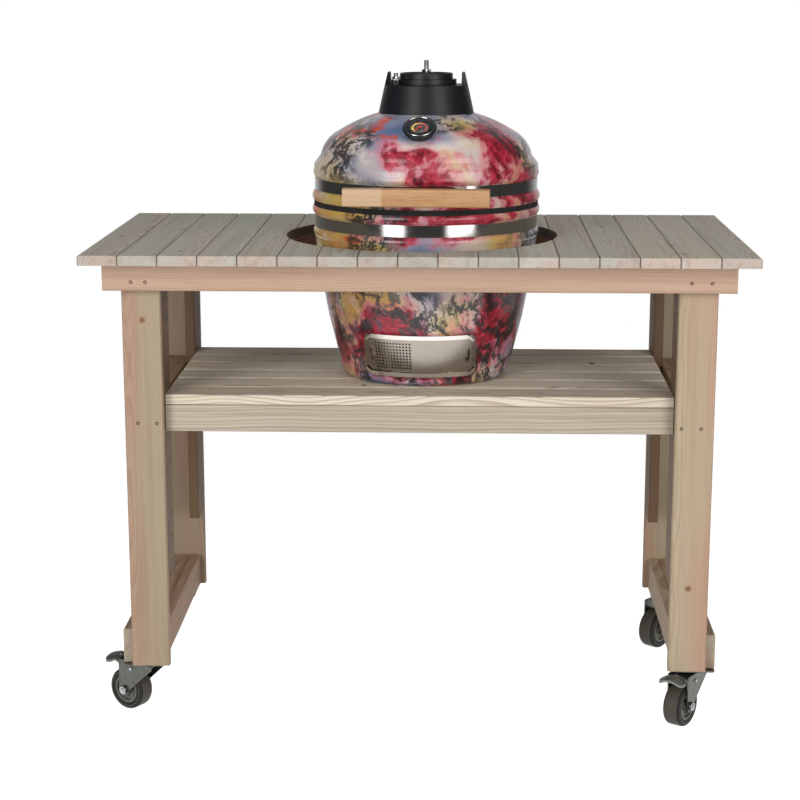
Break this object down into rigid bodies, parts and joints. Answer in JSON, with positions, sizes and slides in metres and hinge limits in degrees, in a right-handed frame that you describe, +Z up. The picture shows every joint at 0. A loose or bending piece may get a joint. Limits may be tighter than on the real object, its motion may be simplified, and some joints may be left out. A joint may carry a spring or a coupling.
{
  "type": "kamado grill table",
  "caption": "Slatted softwood table on braked casters, with a ceramic charcoal grill on its shelf that rises through a round hole in the top.",
  "frame": {"origin": "on the floor under the middle of the table, which is also the middle of the round hole in its top", "axes": "+Z up, -Y is the front with the lid handle and draft door, +X along the table to the right as seen from the front"},
  "size_m": [1.2, 0.65, 1.2174],
  "materials": {
    "top_wood": "bare planed softwood, weathered grey-beige",
    "frame_wood": "bare planed softwood",
    "shelf_wood": "bare planed softwood",
    "bamboo": "satin lacquered bamboo",
    "glaze": "glossy glaze with an abstract mottled pattern",
    "firebrick": "matt unglazed fired clay",
    "felt": "dense woven felt",
    "stainless": "brushed stainless steel",
    "cast_cap": "matt black coating",
    "grate_iron": "seasoned cast iron",
    "cooking_steel": "brushed stainless steel",
    "spring_steel": "bright spring steel",
    "dial_black": "matt black painted dial with a coloured scale",
    "needle_red": "red painted needle",
    "zinc": "bright zinc plating",
    "tyre_rubber": "dark grey rubber",
    "hub_plastic": "dark grey moulded plastic",
    "pedal_steel": "bright zinc plating"
  },
  "bodies": {
    "table": {"top_planks": "top_wood", "notched_planks": "top_wood", "short_planks_front": "top_wood", "short_planks_rear": "top_wood", "apron_front": "frame_wood", "apron_rear": "frame_wood", "top_side_rails": "frame_wood", "leg_front_left": "frame_wood", "leg_front_right": "frame_wood", "leg_rear_left": "frame_wood", "leg_rear_right": "frame_wood", "leg_side_boards": "frame_wood", "shelf_boards": "shelf_wood", "shelf_rails": "frame_wood", "shelf_bearers": "frame_wood", "shelf_cleats": "frame_wood", "lower_rails_left": "frame_wood", "lower_rails_right": "frame_wood", "caster_plates": "zinc"},
    "grill_base": {"base_shell": "glaze", "base_band": "stainless", "base_gasket": "felt", "firebox": "firebrick", "fire_ring": "firebrick", "charcoal_grate": "grate_iron", "cooking_grate": "cooking_steel", "hinge_base_bracket": "stainless", "hinge_pin": "stainless", "hinge_springs": "spring_steel", "draft_frame": "stainless"},
    "grill_lid": {"lid_shell": "glaze", "lid_band": "stainless", "lid_gasket": "felt", "handle_bar": "bamboo", "handle_brackets": "stainless", "hinge_lid_bracket": "stainless", "thermometer_case": "stainless", "thermometer_dial": "dial_black", "vent_collar": "cast_cap"},
    "vent_swing": {"vent_disc": "cast_cap"},
    "vent_turn": {"vent_rotor": "cast_cap"},
    "needle": {"thermometer_needle": "needle_red"},
    "draft_door_body": {"draft_door": "stainless"},
    "draft_screen_body": {"draft_screen": "stainless"},
    "swivel_front_left": {"caster_fork_front_left": "zinc"},
    "wheel_front_left": {"caster_hub_front_left": "hub_plastic", "caster_tyre_front_left": "tyre_rubber"},
    "brake_front_left": {"brake_pedal_front_left": "pedal_steel"},
    "swivel_front_right": {"caster_fork_front_right": "zinc"},
    "wheel_front_right": {"caster_hub_front_right": "hub_plastic", "caster_tyre_front_right": "tyre_rubber"},
    "brake_front_right": {"brake_pedal_front_right": "pedal_steel"},
    "swivel_rear_left": {"caster_fork_rear_left": "zinc"},
    "wheel_rear_left": {"caster_hub_rear_left": "hub_plastic", "caster_tyre_rear_left": "tyre_rubber"},
    "swivel_rear_right": {"caster_fork_rear_right": "zinc"},
    "wheel_rear_right": {"caster_hub_rear_right": "hub_plastic", "caster_tyre_rear_right": "tyre_rubber"}
  },
  "joints": [
    {"name": "caster_swivel_front_left", "type": "hinge", "parent": "table", "child": "swivel_front_left", "pos_m": [-0.515, -0.216, 0.1], "axis": [0, 0, 1], "continuous": true},
    {"name": "wheel_spin_front_left", "type": "hinge", "parent": "swivel_front_left", "child": "wheel_front_left", "pos_m": [-0.55062, -0.19374, 0.04], "axis": [-0.5299, -0.848, 0], "continuous": true},
    {"name": "brake_press_front_left", "type": "hinge", "parent": "swivel_front_left", "child": "brake_front_left", "pos_m": [-0.53535, -0.20328, 0.086], "axis": [-0.5299, -0.848, 0], "range_deg": [0, 6]},
    {"name": "caster_swivel_front_right", "type": "hinge", "parent": "table", "child": "swivel_front_right", "pos_m": [0.515, -0.216, 0.1], "axis": [0, 0, 1], "continuous": true},
    {"name": "wheel_spin_front_right", "type": "hinge", "parent": "swivel_front_right", "child": "wheel_front_right", "pos_m": [0.49151, -0.25082, 0.04], "axis": [0.829, -0.5592, 0], "continuous": true},
    {"name": "brake_press_front_right", "type": "hinge", "parent": "swivel_front_right", "child": "brake_front_right", "pos_m": [0.50158, -0.2359, 0.086], "axis": [0.829, -0.5592, 0], "range_deg": [0, 6]},
    {"name": "caster_swivel_rear_left", "type": "hinge", "parent": "table", "child": "swivel_rear_left", "pos_m": [-0.515, 0.216, 0.1], "axis": [0, 0, 1], "continuous": true},
    {"name": "wheel_spin_rear_left", "type": "hinge", "parent": "swivel_rear_left", "child": "wheel_rear_left", "pos_m": [-0.55447, 0.20164, 0.04], "axis": [0.342, -0.9397, 0], "continuous": true},
    {"name": "caster_swivel_rear_right", "type": "hinge", "parent": "table", "child": "swivel_rear_right", "pos_m": [0.515, 0.216, 0.1], "axis": [0, 0, 1], "continuous": true},
    {"name": "wheel_spin_rear_right", "type": "hinge", "parent": "swivel_rear_right", "child": "wheel_rear_right", "pos_m": [0.488, 0.18383, 0.04], "axis": [0.766, -0.6428, 0], "continuous": true},
    {"name": "grill_lift", "type": "slide", "parent": "table", "child": "grill_base", "axis": [0, 0, 1], "range_m": [0, 0.35]},
    {"name": "lid_hinge", "type": "hinge", "parent": "grill_base", "child": "grill_lid", "pos_m": [0.0203, 0.23468, 0.9537], "axis": [-0.9986, 0.0523, 0], "range_deg": [0, 70], "stiffness_Nm_per_rad": 6, "springref_deg": 70},
    {"name": "vent_swing_pivot", "type": "hinge", "parent": "grill_lid", "child": "vent_swing", "pos_m": [-0.04841, -0.02691, 1.1784], "axis": [0, 0, -1], "range_deg": [0, 95]},
    {"name": "vent_rotor_turn", "type": "hinge", "parent": "vent_swing", "child": "vent_turn", "pos_m": [0.008, 0, 1.1884], "axis": [0, 0, 1], "continuous": true},
    {"name": "needle_turn", "type": "hinge", "parent": "grill_lid", "child": "needle", "pos_m": [-0.00043, -0.16078, 1.0944], "axis": [-0.0293, -0.5584, 0.829], "range_deg": [-270, 0], "stiffness_Nm_per_rad": 0.0005},
    {"name": "draft_door_slide", "type": "hinge", "parent": "grill_base", "child": "draft_door_body", "pos_m": [0.008, 0, 0.6839], "axis": [0, 0, 1], "range_deg": [-23, 0]},
    {"name": "draft_screen_slide", "type": "hinge", "parent": "grill_base", "child": "draft_screen_body", "pos_m": [0.008, 0, 0.6839], "axis": [0, 0, 1], "range_deg": [0, 23]}
  ]
}
